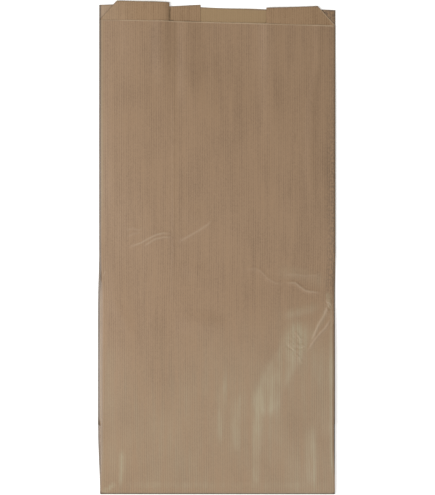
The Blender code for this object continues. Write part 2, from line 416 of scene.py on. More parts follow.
class StageLook(bpy.types.PropertyGroup):
    """Table, lamps and camera."""

    lens: FloatProperty(name="Lens", description="Focal length in millimetres", default=100.0)
    key_power: FloatProperty(
        name="Key power", description="Power of the window light", default=4.8, unit="POWER"
    )
    sheen_power: FloatProperty(
        name="Sheen power", description="Power of the lamp beyond the bottom fold", default=1.3,
        unit="POWER"
    )
    sky_strength: FloatProperty(name="Sky strength", description="Strength of the even light", default=0.36)
    floor_tone: FloatProperty(name="Floor tone", description="Paleness of the table", default=0.86)
    floor_glow: FloatProperty(
        name="Floor glow", description="Light added where the camera sees the table", default=0.42
    )
    floor_size: FloatProperty(
        name="Floor size", description="Width of the table", default=3.0, unit="LENGTH"
    )


def smooth(value):
    """Ease a share from 0 to 1."""
    share = min(max(value, 0.0), 1.0)
    return share * share * (3 - 2 * share)


def bump(value):
    """A round hump: 1 in its middle and 0 from a distance of 1 on."""
    share = max(0.0, 1 - value * value)
    return share * share


def sharp(value):
    """A sharp crest: 1 in its middle and 0 from a distance of 1 on."""
    share = max(0.0, 1 - value)
    return share * share


def mound(across, along, centre_across, centre_along, half_across, half_along):
    """A soft round mound, 1 in its middle, with its place and size in millimetres."""
    away_across = (across / MILLIMETRE - centre_across) / half_across
    away_along = (along / MILLIMETRE - centre_along) / half_along
    return bump(math.hypot(away_across, away_along))


class Stroke:
    """A line on the front panel with a strength and half widths, which fades over each end's share of it."""

    END_SHARE = 0.25

    def __init__(self, points, strength, left_half, right_half=None):
        self.points = [(across * MILLIMETRE, along * MILLIMETRE) for across, along in points]
        self.strength = strength
        self.left_half = left_half * MILLIMETRE
        self.right_half = self.left_half if right_half is None else right_half * MILLIMETRE
        self.half = max(self.left_half, self.right_half)
        self.lengths = [math.dist(start, end) for start, end in zip(self.points, self.points[1:])]
        self.low = [min(values) for values in zip(*self.points)]
        self.high = [max(values) for values in zip(*self.points)]

    def near(self, across, along, margin):
        """Whether a place lies within a margin of the box around the line."""
        return (self.low[0] - margin < across < self.high[0] + margin
                and self.low[1] - margin < along < self.high[1] + margin)

    def measure(self, across, along):
        """Distance from the line, above 0 on its left side, and how far along it the nearest place is."""
        nearest = math.inf
        place = 0.0
        done = 0.0
        for start, end, length in zip(self.points, self.points[1:], self.lengths):
            step = (end[0] - start[0], end[1] - start[1])
            offset = (across - start[0], along - start[1])
            run = (offset[0] * step[0] + offset[1] * step[1]) / length**2
            run = min(max(run, 0.0), 1.0)
            away = math.hypot(offset[0] - run * step[0], offset[1] - run * step[1])
            if away < abs(nearest):
                nearest = math.copysign(away, step[0] * offset[1] - step[1] * offset[0])
                place = done + run * length
            done += length
        return nearest, place / done

    def fade(self, place):
        """How far the stroke has come up at a share of its length."""
        return smooth(place / self.END_SHARE) * smooth((1 - place) / self.END_SHARE)

    def height(self, across, along, profile):
        """The stroke's strength here, with its profile across and its fade along."""
        if not self.near(across, along, self.half):
            return 0.0
        away, place = self.measure(across, along)
        half = self.left_half if away > 0 else self.right_half
        return self.strength * profile(abs(away) / half) * self.fade(place)


class FoldedBag:
    """How each wall of the standing box lies in the folded bag."""

    # Plies glued together in the bottom and the seam, and the width of the step where a ply ends
    PLIES_IN_BASE = 3
    PLIES_IN_SEAM = 2
    STEP_WIDTH = 0.0001

    # The paper lies this far clear of the table, and the back's lower end nests in the bottom's upper fold
    LIFT = 0.00003
    NESTED_FOLD = 0.0005

    # Room between the plies: at the inner folds, behind and inside the gussets, and between the inner folds
    RIDGE_RISE = 0.0003
    POCKET_RISE = 0.0003
    SLOT_RISE = 0.0002
    CENTRE_RISE = 0.0002
    CENTRE_SPREAD = 0.010
    CENTRE_LEAD = 0.0040

    # The back comes down from the bottom's flaps, and the plies spread towards the mouth, which is pressed
    BASE_RAMP = 0.055
    MOUTH_FLARE = 0.2
    FLARE_LENGTH = 0.090
    PRESS_START = 0.200
    PRESS_RAMP = 0.055
    MOUTH_PRESS = 0.45

    # The upper part swells inwards of its side folds
    PILLOW_RISE = 0.00026
    PILLOW_RUN = 0.0075
    PILLOW_START = 0.130

    # At the mouth the left gusset puffs up, falls off at its inner fold and leans to the right there
    PUFF_RISE = 0.0007
    PUFF_RUN = 0.0023
    FOLD_LEAN = 0.0007
    LEAN_SHARE = 0.25

    # Lower down, the front's side folds lie in from the back's, and the right one less
    INSET_START = 0.135
    INSET_RAMP = 0.032
    INSET_SPREAD = 0.030
    RIGHT_INSET = 0.45

    # The lower part lies to the left, its right side less so, and the lower left corner lies in
    SWAY_START = 0.135
    SWAY_RAMP = 0.030
    SWAY_EASE = 0.28
    TUCK_RUN = 0.035

    # The cut mouth: rows above the first place are drawn to it, the front's falls and the back's dips
    REMAP_START = 0.150
    FRONT_SLANT = 0.0004
    BACK_DIP = 0.0006
    BACK_DIP_AT = 0.027
    BACK_DIP_RUN = 0.038
    CUT_WAVES = 60
    CUT_SLICE = 1.7

    # Distances of the extra score lines from the mouth and from the side folds
    RIM_WIDTH = 0.00015
    LINE_INWARD = 0.0014

    # The front's slight waves, broad and fine: waves a metre across and along, and the slice of the noise
    BROAD_WAVES = (28, 16, 3.1)
    FINE_WAVES = (95, 34, 8.4)
    FINE_SHARE = 0.35
    WAVE_FADE = 0.012

    # The front's relief fades out over these lengths at its side folds and at the bottom fold
    SIDE_FADE = 0.003
    BOTTOM_FADE = 0.004

    # The glaze and its painted sheen show over the lower part, below a slanted line and less towards the left
    GLAZE_AND_SHEEN_START = 0.110
    GLAZE_AND_SHEEN_RAMP = 0.060
    GLAZE_AND_SHEEN_LEVEL = 0.38
    GLAZE_AND_SHEEN_SLANT = 0.020
    GLAZE_AND_SHEEN_AT_LEFT = 0.65

    # How pale the cut shows, with painted shade where it shows little: at the front's left end, along the rest
    # of it, on the right slant and elsewhere
    PALE_LEFT = 0.45
    PALE_FRONT = 0.80
    PALE_START = 0.0075
    PALE_RAMP = 0.006
    PALE_SLANT = 0.80
    PALE_ELSEWHERE = 0.15

    # How dark the folds are painted, partly wear and partly painted shade: the side folds, the front's lower
    # left one, a painted shadow on the strip beside it and a painted gap shadow at the flaps' cut edges
    FOLD_DARKENING_START = 0.105
    FOLD_DARKENING_RAMP = 0.030
    LEFT_WEAR_AND_SHADE = 1.6
    RIGHT_WEAR_AND_SHADE = 0.65
    LOWER_WEAR_AND_SHADE = 0.40
    STRIP_PAINTED_SHADOW = 1.20
    FLAP_PAINTED_SHADOW = 1.2

    # The paler crest of a crease, partly crease whitening and partly painted highlight, and the painted light
    # that makes the left gusset paler towards its back fold
    CREST_WIDTH = 0.0009
    CORNER_PAINTED_LIGHT = 0.30

    # Heights of the back panel at the mouth, as places across and rises, and where they begin along the bag
    MOUTH_VALLEY = ((-0.065, 0.0), (-0.028, 0.0007), (-0.0092, 0.0), (0.030, 0.0005), (0.065, 0.0))
    VALLEY_START = 0.225
    VALLEY_RAMP = 0.035

    def __init__(self, sizes):
        self.ply = sizes.ply
        self.pitch = sizes.ply_pitch
        self.reach = sizes.fold_reach
        self.fold = sizes.gusset_fold
        self.depth = 2 * sizes.gusset_fold
        self.half_width = (BAG_HIGH.x - BAG_LOW.x - sizes.ply) / 2
        self.mouth_height = sizes.mouth_height
        self.mouth_skew = sizes.mouth_skew
        self.front_drop = sizes.front_drop
        self.gusset_rise = sizes.gusset_rise
        self.step_run = sizes.step_run
        self.box_height = sizes.mouth_height + sizes.mouth_skew + sizes.gusset_rise
        self.seam_edge = sizes.seam_edge
        self.seam_outer = sizes.seam_edge - sizes.seam_overlap
        self.flap_half = self.half_width - sizes.flap_set_in
        self.outer_flap = self.fold + sizes.flap_overlap
        self.front_inset = sizes.front_inset
        self.cut_wander = sizes.cut_wander
        self.waviness = sizes.waviness
        self.sway = sizes.sway
        self.corner_tuck = sizes.corner_tuck
        self.seam_lift = sizes.seam_lift
        self.bottom = BAG_LOW.y + sizes.ply / 2
        self.creases = [Stroke(*values) for values in CREASES.values()]
        self.ridges = [Stroke(*values) for values in RIDGES.values()]
        self.glaze_and_sheen_strokes = [Stroke(*values) for values in GLAZE_AND_SHEEN_STROKES.values()]

    def mouth_line(self, across, from_front):
        """Height of the cut mouth above the base of the standing box."""
        level = self.mouth_height - self.mouth_skew * across / (2 * self.half_width)
        if from_front < self.step_run:
            drop = self.front_drop + self.FRONT_SLANT * max(0.0, across / self.half_width)
            return level - drop + (drop + self.gusset_rise) * from_front / self.step_run
        if from_front > self.depth - SAME_PLACE and across < self.seam_edge:
            lift_run = self.half_width - self.fold + self.seam_edge
            return level + self.seam_lift * max(0.0, 1 - (self.seam_edge - across) / lift_run)
        if from_front > self.depth - SAME_PLACE:
            from_dip = abs(across - self.BACK_DIP_AT)
            return level - self.BACK_DIP * max(0.0, 1 - from_dip / self.BACK_DIP_RUN)
        return level + self.gusset_rise * (self.depth - from_front) / (self.depth - self.step_run)

    def ply_of(self, normal, place):
        """Which ply of the stack a face of the standing box becomes."""
        if abs(normal.z) > FACES_AXIS:
            return BASE
        if normal.y < -FACES_AXIS:
            return FRONT
        if normal.y > FACES_AXIS:
            return BACK if place.z > self.fold else BACK_TURNED
        if place.z < min(place.y, self.depth - place.y):
            return SIDE_TRIANGLE
        if place.y < self.fold:
            return GUSSET_FRONT
        return GUSSET_BACK if place.z > self.fold else SIDE_TURNED

    def folded_place(self, place, ply):
        """Where a point of the standing box lies across and along the folded bag."""
        side = -1 if place.x < 0 else 1
        from_back = self.depth - place.y
        if ply in (FRONT, BACK):
            return place.x, place.z
        if ply == BACK_TURNED:
            return place.x, self.depth - place.z
        if ply == BASE:
            return place.x, place.y
        if ply == GUSSET_FRONT:
            return side * (self.half_width - place.y), place.z
        if ply == GUSSET_BACK:
            return side * (self.half_width - from_back), place.z
        if ply == SIDE_TURNED:
            return side * (self.half_width - from_back), self.depth - place.z
        return side * (self.half_width - place.z), place.y

    def flap_plies(self, across, along):
        """How many plies thick the glued bottom is."""
        if along < self.outer_flap and abs(across) < self.flap_half - along:
            return self.PLIES_IN_BASE
        if abs(across) < self.flap_half - (self.depth - along):
            return self.PLIES_IN_BASE - 1
        return self.PLIES_IN_BASE - 2

    def step_lines(self):
        """Distances of the score lines that flank a place where a ply ends."""
        half_step = self.STEP_WIDTH / 2
        return (-half_step - self.reach, -half_step, half_step, half_step + self.reach)

    def seam_shift(self, across):
        """The back's left half lies inside its right half along the seam."""
        fade = min((self.half_width - abs(across)) / self.fold, 1.0)
        if across < self.seam_outer:
            return self.ply / 2 * fade
        return 0.0 if across < self.seam_edge else -self.ply / 2 * fade

    def mouth_valley(self, across, along):
        """Near the mouth the back panel sinks towards its seam and rises under the inner folds."""
        for (start, low), (end, high) in zip(self.MOUTH_VALLEY, self.MOUTH_VALLEY[1:]):
            if across <= end:
                rise = low + (high - low) * smooth((across - start) / (end - start))
                return rise * smooth((along - self.VALLEY_START) / self.VALLEY_RAMP)
        return 0.0

    def stack_height(self, ply, across, along):
        """Height of a ply's middle plane, before its own waves."""
        base_height = self.PLIES_IN_BASE * self.ply
        triangle_height = base_height + self.pitch
        if ply == BASE:
            return base_height - self.flap_plies(across, along) * self.ply / 2
        if ply in (SIDE_TRIANGLE, SIDE_TURNED, BACK_TURNED):
            return triangle_height + (SIDE_TRIANGLE - ply) * self.pitch
        inward = self.half_width - abs(across)
        share = min(inward / self.fold, 1.0)
        middle = smooth((inward - self.fold + self.CENTRE_LEAD) / self.CENTRE_SPREAD)
        at_mouth = smooth((along - self.PRESS_START) / self.PRESS_RAMP)

        # The plies come apart above the glued bottom, and a little more towards the mouth
        open_share = smooth((along - self.fold) / self.depth)
        flare_start = self.mouth_height - self.FLARE_LENGTH
        loft = open_share * (1 + self.MOUTH_FLARE * smooth((along - flare_start) / self.FLARE_LENGTH))
        on_base = triangle_height + (SIDE_TRIANGLE - BACK) * self.pitch
        back = on_base + (self.ply - on_base) * smooth((along - self.depth) / self.BASE_RAMP)
        back += self.mouth_valley(across, along)
        if ply == BACK:
            return back

        # From the back up: the gussets' back ply, their front ply, and the front over them or over the back
        pressed = 1 - self.MOUTH_PRESS * at_mouth
        inner = back + pressed * (self.pitch + self.POCKET_RISE * share * loft)
        if ply == GUSSET_BACK:
            return inner
        slot = self.SLOT_RISE * loft * 4 * share * (1 - share)
        puff = self.PUFF_RISE * at_mouth * smooth(2 * share) if across < 0 else 0.0
        pillow = smooth(inward / self.PILLOW_RUN) * smooth((along - self.PILLOW_START) / self.fold)
        inner += self.PILLOW_RISE * pillow
        over_gussets = inner + puff + pressed * (2 * self.pitch + slot + self.RIDGE_RISE * share * loft)
        puff *= smooth((self.fold - inward) / self.PUFF_RUN)
        front_gusset = inner + puff + pressed * (self.pitch + slot)
        over_back = back + pressed * (2 * self.pitch + self.CENTRE_RISE * loft)
        front = over_gussets + (over_back - over_gussets) * middle * at_mouth

        # At the bottom fold the upper plies come together on the turned-up bottom
        wedge = 1 - (1 - min(along / self.fold, 1.0)) ** 2
        lowest = triangle_height + self.pitch
        if ply == GUSSET_FRONT:
            return lowest + (front_gusset - lowest) * wedge
        return lowest + self.pitch + (front - lowest - self.pitch) * wedge

    def inset_at(self, ply, across, along):
        """How far the front's side fold, and the plies that hang on it, lie in from the back's side fold."""
        inward = self.half_width - abs(across)
        inset = self.front_inset * smooth((self.INSET_START - along) / self.INSET_RAMP)
        inset *= smooth(along / self.INSET_RAMP) * (self.RIGHT_INSET if across > 0 else 1.0)
        if ply in (FRONT, GUSSET_FRONT):
            return inset * max(0.0, 1 - inward / self.INSET_SPREAD)
        if ply == SIDE_TRIANGLE and along > 0:
            return inset * max(0.0, 1 - along / self.INSET_SPREAD) * inward / along
        return 0.0

    def drift(self, across, along):
        """The bag's lower part lies a little to the left, and its lower left corner a little in."""
        share = across / self.half_width
        sway = self.sway * (1 - self.SWAY_EASE * share) * smooth((self.SWAY_START - along) / self.SWAY_RAMP)
        tuck = self.corner_tuck * (1 - smooth(along / self.TUCK_RUN)) * max(0.0, -share)
        return tuck - sway

    def waves(self, across, along):
        """Slight waves of the front panel, which fade out towards its folds."""
        inward = min(self.half_width - abs(across), along)
        broad, fine = (
            noise.noise(Vector((across * waves_across, along * waves_along, noise_slice)))
            for waves_across, waves_along, noise_slice in (self.BROAD_WAVES, self.FINE_WAVES)
        )
        return self.waviness * smooth(inward / self.WAVE_FADE) * (broad + self.FINE_SHARE * fine)

    def front_relief(self, across, along):
        """Creases, ridges and dents of the front panel."""
        inward = self.half_width - abs(across)
        fade = smooth(inward / self.SIDE_FADE) * smooth(along / self.BOTTOM_FADE)
        height = sum(crease.height(across, along, sharp) for crease in self.creases)
        height += sum(ridge.height(across, along, bump) for ridge in self.ridges)
        height += sum(rise * mound(across, along, *place) for *place, rise in SWELLS.values())
        return height * MILLIMETRE * fade + self.waves(across, along)

    def glaze_and_sheen_at(self, across, along):
        """How much of the glaze and its painted sheen shows: broadly over the lower part, and in strokes."""
        right_share = smooth((self.half_width + across) / (2 * self.half_width))
        start = self.GLAZE_AND_SHEEN_START + self.GLAZE_AND_SHEEN_SLANT * (right_share - 0.5)
        level = self.GLAZE_AND_SHEEN_LEVEL * (self.GLAZE_AND_SHEEN_AT_LEFT + (1 - self.GLAZE_AND_SHEEN_AT_LEFT) * right_share)
        broad = level * smooth((start - along) / self.GLAZE_AND_SHEEN_RAMP)
        strokes = max(stroke.height(across, along, bump) for stroke in self.glaze_and_sheen_strokes)
        return min(1.0, broad + strokes)

    def from_fold(self, place):
        """Distance from a place on the standing box to its nearest edge."""
        return sorted((self.half_width - abs(place.x), place.y, self.depth - place.y, place.z))[1]

    def pale_cut(self, place):
        """How pale the cut mouth shows, with painted shade where it shows little: the front's edge and the
        right slant do, the left corner's hardly.
        """
        if place.y < SAME_PLACE:
            from_start = place.x + self.half_width - self.PALE_START
            return self.PALE_LEFT + (self.PALE_FRONT - self.PALE_LEFT) * smooth(from_start / self.PALE_RAMP)
        if place.x > 0 and place.y < self.step_run:
            return self.PALE_SLANT
        return self.PALE_ELSEWHERE

    def fold_wear_and_shade(self, place):
        """How dark the paper at a fold is painted, partly wear and partly painted shade; the front's lower
        side folds get little of it.
        """
        if place.z < self.reach:
            return 1.0
        low = smooth((self.FOLD_DARKENING_START + self.FOLD_DARKENING_RAMP - place.z) / self.FOLD_DARKENING_RAMP)
        if place.x > 0:
            return self.RIGHT_WEAR_AND_SHADE * (1 - low if place.y < SAME_PLACE else 1)
        if place.y < SAME_PLACE:
            return self.LEFT_WEAR_AND_SHADE + (self.LOWER_WEAR_AND_SHADE - self.LEFT_WEAR_AND_SHADE) * low
        return self.LEFT_WEAR_AND_SHADE + self.STRIP_PAINTED_SHADOW * low

    def at_cut_flap(self, across, along):
        """Whether a place on the base is at the cut edge of one of the bottom's flaps."""
        past_outer = max(along - self.outer_flap, abs(across) - self.flap_half + along)
        past_inner = abs(across) - self.flap_half + self.depth - along
        return abs(past_outer) < self.STEP_WIDTH or (past_outer > 0 and abs(past_inner) < self.STEP_WIDTH)

    def crest_and_highlight_at(self, across, along):
        """How clearly the paler crest of a crease shows, partly crease whitening and partly painted highlight.
        """
        shown = 0.0
        for crease in self.creases:
            if crease.near(across, along, self.CREST_WIDTH):
                away, place = crease.measure(across, along)
                shown = max(shown, crease.strength * crease.fade(place) * bump(away / self.CREST_WIDTH))
        return shown

    def lie(self, ply, across, along):
        """A ply's place in the folded bag."""
        height = self.stack_height(ply, across, along)
        side = -1 if across < 0 else 1
        across_at = across - side * self.inset_at(ply, across, along) + self.drift(across, along)
        if ply in (GUSSET_FRONT, GUSSET_BACK) and across < 0:
            from_inner_fold = 1 - (self.half_width + across) / self.fold
            lean = smooth((along - self.PRESS_START) / self.PRESS_RAMP)
            across_at += self.FOLD_LEAN * lean * smooth(1 - from_inner_fold / self.LEAN_SHARE)
        if ply == FRONT:
            height += self.front_relief(across, along)
        if ply == BACK:
            height += self.seam_shift(across)
        if ply == BACK_TURNED:
            height -= self.seam_shift(across)
        if ply in (BACK, BACK_TURNED):
            along += self.NESTED_FOLD * max(0.0, 1 - 2 * (along - self.fold) / self.fold)
        return across_at, along, height


def once(groups):
    """All members of some groups, each one once and in order."""
    return list(dict.fromkeys(member for group in groups for member in group))


def cut(sheet, point, normal, faces=None):
    """Score the sheet along a plane, on all of its walls or on some."""
    chosen = list(sheet.faces) if faces is None else faces
    bmesh.ops.bisect_plane(
        sheet,
        geom=chosen + once(face.edges for face in chosen) + once(face.verts for face in chosen),
        dist=SAME_PLACE,
        plane_co=point,
        plane_no=normal,
    )
    sheet.normal_update()


def open_box(bag):
    """The bag standing open: four walls and a base."""
    sheet = bmesh.new()
    bmesh.ops.create_cube(sheet, size=1.0)
    bmesh.ops.scale(sheet, vec=(2 * bag.half_width, bag.depth, bag.box_height), verts=sheet.verts)
    bmesh.ops.translate(sheet, vec=(0, bag.depth / 2, bag.box_height / 2), verts=sheet.verts)
    lid = [face for face in sheet.faces if face.normal.z > FACES_AXIS]
    bmesh.ops.delete(sheet, geom=lid, context="FACES_ONLY")
    return sheet


def score_walls(sheet, bag):
    """Cut the walls along their straight creases and beside them."""
    inner_fold = bag.half_width - bag.fold
    lines = {0.0, inner_fold, -inner_fold}
    for inward in (bag.reach, bag.LINE_INWARD):
        lines.update((bag.half_width - inward, inward - bag.half_width))
    for edge in (bag.seam_outer, bag.seam_edge):
        lines.update(edge + step for step in bag.step_lines())
    for place in sorted(lines):
        cut(sheet, (place, 0, 0), (1, 0, 0))
    for place in (bag.reach, bag.step_run, bag.fold - bag.PUFF_RUN, bag.fold - bag.reach, bag.fold):
        cut(sheet, (0, place, 0), (0, 1, 0))
        cut(sheet, (0, bag.depth - place, 0), (0, 1, 0))
    rim = bag.box_height - bag.RIM_WIDTH
    for row in (bag.reach, bag.fold - bag.reach, bag.fold, bag.fold + bag.reach, bag.depth, rim):
        cut(sheet, (0, 0, row), (0, 0, 1))


def refine(sheet, faces, axis, pitch):
    """Divide every strip of some walls into even rows no wider than the pitch."""
    strips = {}
    for edge in once(face.edges for face in faces):
        start, end = (corner.co for corner in edge.verts)
        length = abs(end[axis] - start[axis])
        if length < FOLLOWS_AXIS * edge.calc_length() or length <= pitch:
            continue
        strips.setdefault((round(min(start[axis], end[axis]), 6), round(length, 6)), []).append(edge)
    for (_, length), edges in sorted(strips.items()):
        bmesh.ops.subdivide_edges(sheet, edges=edges, cuts=math.ceil(length / pitch) - 1)


def front_wall(sheet):
    return [face for face in sheet.faces if face.normal.y < -FACES_AXIS]


def side_walls(sheet):
    return [face for face in sheet.faces if abs(face.normal.x) > FACES_AXIS]


def base_wall(sheet):
    return [face for face in sheet.faces if abs(face.normal.z) > FACES_AXIS]


def refine_creases(sheet, bag, margin):
    """Halve the front's faces that lie within the margin of a crease's flanks."""
    close = []
    for face in front_wall(sheet):
        place = face.calc_center_median()
        for crease in bag.creases:
            reach = crease.half + margin
            if crease.near(place.x, place.z, reach) and abs(crease.measure(place.x, place.z)[0]) < reach:
                close.append(face.edges)
                break
    bmesh.ops.subdivide_edges(sheet, edges=once(close), cuts=1, use_grid_fill=True, use_single_edge=True)
    sheet.normal_update()


def score_diagonals(sheet, bag):
    """The gussets' bottom creases, and the free edges of the bottom's glued flaps."""
    for offset in (-bag.reach, 0.0, bag.reach):
        low = [face for face in side_walls(sheet) if face.calc_center_median().z < bag.depth]
        cut(sheet, (0, offset, 0), (0, 1, -1), low)
        low = [face for face in side_walls(sheet) if face.calc_center_median().z < bag.depth]
        cut(sheet, (0, bag.depth + offset, 0), (0, 1, 1), low)
    for step in bag.step_lines():
        reach = bag.flap_half + step
        for start, normal in (
            ((-reach, 0, 0), (1, -1, 0)),
            ((reach, 0, 0), (1, 1, 0)),
            ((-reach, bag.depth, 0), (1, 1, 0)),
            ((reach, bag.depth, 0), (1, -1, 0)),
            ((0, bag.outer_flap + step, 0), (0, 1, 0)),
        ):
            cut(sheet, start, normal, base_wall(sheet))


def open_pinholes(sheet, bag):
    """Where four creases meet the folded paper leaves a pinhole."""
    meetings = [(bag.fold, bag.fold), (bag.depth, 0.0), (0.0, 0.0), (bag.depth, bag.fold)]
    holes = []
    for corner in sheet.verts:
        if abs(corner.co.x) > bag.half_width - SAME_PLACE:
            for from_front, height in meetings:
                if math.dist(corner.co.yz, (from_front, height)) < SAME_PLACE:
                    holes.append(corner)
    bmesh.ops.delete(sheet, geom=holes, context="VERTS")


def cut_mouth(sheet, bag):
    """Draw the upper rows down to the slanted, stepped and slightly wandering mouth."""
    span = bag.box_height - bag.REMAP_START
    for corner in sheet.verts:
        rise = corner.co.z - bag.REMAP_START
        if rise <= 0:
            continue
        mouth = bag.mouth_line(corner.co.x, corner.co.y)
        waves = Vector((corner.co.x * bag.CUT_WAVES, corner.co.y * bag.CUT_WAVES, bag.CUT_SLICE))
        mouth += bag.cut_wander * noise.noise(waves)
        corner.co.z = bag.REMAP_START + rise * (mouth - bag.REMAP_START) / span


def mark_corners(sheet, bag):
    """Give each corner what the materials read: its distance to the cut and the folds, and the marks."""
    layers = {}
    for name in ("from_cut", "pale_cut", "from_fold", "fold_wear_and_shade", "glaze_and_sheen", "crumple", "crest_and_painted_light"):
        layers[name] = sheet.verts.layers.float.new(name)
    for corner in sheet.verts:
        place = corner.co
        corner[layers["from_cut"]] = bag.mouth_line(place.x, place.y) - place.z
        corner[layers["pale_cut"]] = bag.pale_cut(place)
        corner[layers["from_fold"]] = bag.from_fold(place)
        corner[layers["fold_wear_and_shade"]] = bag.fold_wear_and_shade(place)
        if place.y < SAME_PLACE:
            corner[layers["glaze_and_sheen"]] = bag.glaze_and_sheen_at(place.x, place.z)
            corner[layers["crumple"]] = max(mound(place.x, place.z, *patch) for patch in CRUMPLED)
            corner[layers["crest_and_painted_light"]] = bag.crest_and_highlight_at(place.x, place.z)
        # Painted gap shadow along the cut edges of the bottom's flaps
        if place.z < SAME_PLACE and bag.at_cut_flap(place.x, place.y):
            corner[layers["from_fold"]] = 0.0
            corner[layers["fold_wear_and_shade"]] = bag.FLAP_PAINTED_SHADOW
        # Painted light: the left gusset turns paler towards its back fold
        if place.x < SAME_PLACE - bag.half_width and place.y > bag.fold:
            corner[layers["crest_and_painted_light"]] = bag.CORNER_PAINTED_LIGHT * (place.y - bag.fold) / bag.fold


def lay_out(sheet, bag):
    """Give each face its place on the unfolded sheet, and find the ply that it becomes."""
    flat = sheet.loops.layers.uv.new("sheet")
    plies = {}
    sheet.normal_update()
    for face in sheet.faces:
        ply = bag.ply_of(face.normal, face.calc_center_median())
        plies[face] = ply
        for loop in face.loops:
            place = loop.vert.co
            if ply in (FRONT, BASE):
                offset = place.x
            elif ply in (BACK, BACK_TURNED):
                offset = place.x + BACK_ON_SHEET
            else:
                offset = place.y + (RIGHT_SIDE_ON_SHEET if place.x > 0 else LEFT_SIDE_ON_SHEET)
            loop[flat].uv = (offset, -place.y if ply == BASE else place.z)
    return plies


def fold_flat(sheet, bag, plies):
    """Move each corner to its folded place, on a crease between its plies, and list how thick each one is."""
    places = {}
    weights = {}
    for corner in sheet.verts:
        around = sorted({plies[face] for face in corner.link_faces})
        lies = [bag.lie(ply, *bag.folded_place(corner.co, ply)) for ply in around]
        places[corner] = [sum(values) / len(lies) for values in zip(*lies)]
        weights[corner] = 1 / bag.PLIES_IN_BASE
        if around == [BASE]:
            weights[corner] = bag.flap_plies(corner.co.x, corner.co.y) / bag.PLIES_IN_BASE
        in_seam = bag.seam_outer < corner.co.x < bag.seam_edge
        if in_seam and set(around) <= {BACK, BACK_TURNED}:
            weights[corner] = bag.PLIES_IN_SEAM / bag.PLIES_IN_BASE
    for corner, (across, along, height) in places.items():
        corner.co = (across, along + bag.bottom, height + bag.LIFT)
    return [weights[corner] for corner in sheet.verts]


def folded_sheet(bag, sizes):
    """The standing box, scored along its creases, cut at its mouth and folded flat."""
    sheet = open_box(bag)
    score_walls(sheet, bag)
    for axis in range(3):
        refine(sheet, sheet.faces, axis, sizes.wall_pitch)
    for axis in (0, 2):
        refine(sheet, front_wall(sheet), axis, sizes.front_pitch)
    for margin in CREASE_MARGINS:
        refine_creases(sheet, bag, margin)
    score_diagonals(sheet, bag)
    open_pinholes(sheet, bag)
    cut_mouth(sheet, bag)
    mark_corners(sheet, bag)
    plies = lay_out(sheet, bag)
    weights = fold_flat(sheet, bag, plies)
    return sheet, weights


def add_paper_wall(piece, weights, bag):
    """Give the sheet its thickness, which is that of the plies glued together at each corner."""
    group = piece.vertex_groups.new(name="plies")
    for index, share in enumerate(weights):
        group.add([index], share, "REPLACE")
    wall = piece.modifiers.new("wall", "SOLIDIFY")
    wall.thickness = bag.PLIES_IN_BASE * bag.ply
    wall.offset = 0.0
    wall.vertex_group = group.name
    wall.material_offset = 1


class Graph:
    """A small helper that adds and links shader nodes."""

    def __init__(self, material):
        material.use_nodes = True
        self.nodes = material.node_tree.nodes
        self.links = material.node_tree.links

    def add(self, kind, settings=None, **values):
        node = self.nodes.new(kind)
        for name, value in (settings or {}).items():
            setattr(node, name, value)
        for name, value in values.items():
            self.give(node.inputs[name.replace("_", " ")], value)
        return node

    def give(self, socket, value):
        if isinstance(value, bpy.types.NodeSocket):
            self.links.new(value, socket)
        else:
            socket.default_value = value

    def math(self, operation, first, second=0.0, third=0.0):
        node = self.nodes.new("ShaderNodeMath")
        node.operation = operation
        for socket, value in zip(node.inputs, (first, second, third)):
            self.give(socket, value)
        return node.outputs[0]

    def mix(self, share, first, second):
        node = self.nodes.new("ShaderNodeMix")
        node.data_type = "RGBA"
        self.give(node.inputs["Factor"], share)
        colours = [socket for socket in node.inputs if socket.type == "RGBA"]
        self.give(colours[0], first)
        self.give(colours[1], second)
        return [socket for socket in node.outputs if socket.type == "RGBA"][0]

    def times(self, first, *others):
        for value in others:
            first = self.math("MULTIPLY", first, value)
        return first

    def tint(self, colour, share, towards):
        return self.mix(share, colour, (*towards, 1.0))

    def range(self, value, low, high, to_low=0.0, to_high=1.0):
        node = self.nodes.new("ShaderNodeMapRange")
        for socket, number in zip(node.inputs, (value, low, high, to_low, to_high)):
            self.give(socket, number)
        return node.outputs[0]

    def attribute(self, name):
        return self.add("ShaderNodeAttribute", {"attribute_name": name}).outputs["Fac"]


class PaperGraph(Graph):
    """Shader nodes of one face of the kraft, with the patterns that both of its faces share."""

    def __init__(self, material, finish):
        super().__init__(material)
        self.finish = finish
        self.sheet = self.add("ShaderNodeUVMap", {"uv_map": "sheet"}).outputs[0]
        place = self.add("ShaderNodeSeparateXYZ", Vector=self.sheet)
        self.across = place.outputs[0]
        self.along = place.outputs[1]
        self.patterns = {
            name: self.pattern(across, along, detail)
            for name, (across, along, detail, _) in PAPER_PATTERNS.items()
        }
        self.rib = self.ribs()

    def pattern(self, across, along, detail=3.0, roughness=0.5):
        """Noise with so many waves a metre across and along the sheet."""
        stretched = self.add("ShaderNodeMapping", Vector=self.sheet, Scale=(across, along, 1.0)).outputs[0]
        values = {"Vector": stretched, "Scale": 1.0, "Detail": detail, "Roughness": roughness}
        return self.add("ShaderNodeTexNoise", **values).outputs[0]

    def spread(self, pattern, low, high):
        return self.range(pattern, NOISE_LOW, NOISE_HIGH, low, high)

    def ribs(self):
        """Even ribs along the sheet, which wander and fade a little."""
        wander = self.times(self.patterns["wander"], RIB_WANDER)
        phase = self.math("MULTIPLY_ADD", self.across, 2 * math.pi / self.finish.rib_pitch, wander)
        strength = self.spread(self.pattern(*RIB_FADE), RIB_WEAKEST, 1.0)
        return self.times(self.math("SINE", phase), strength)


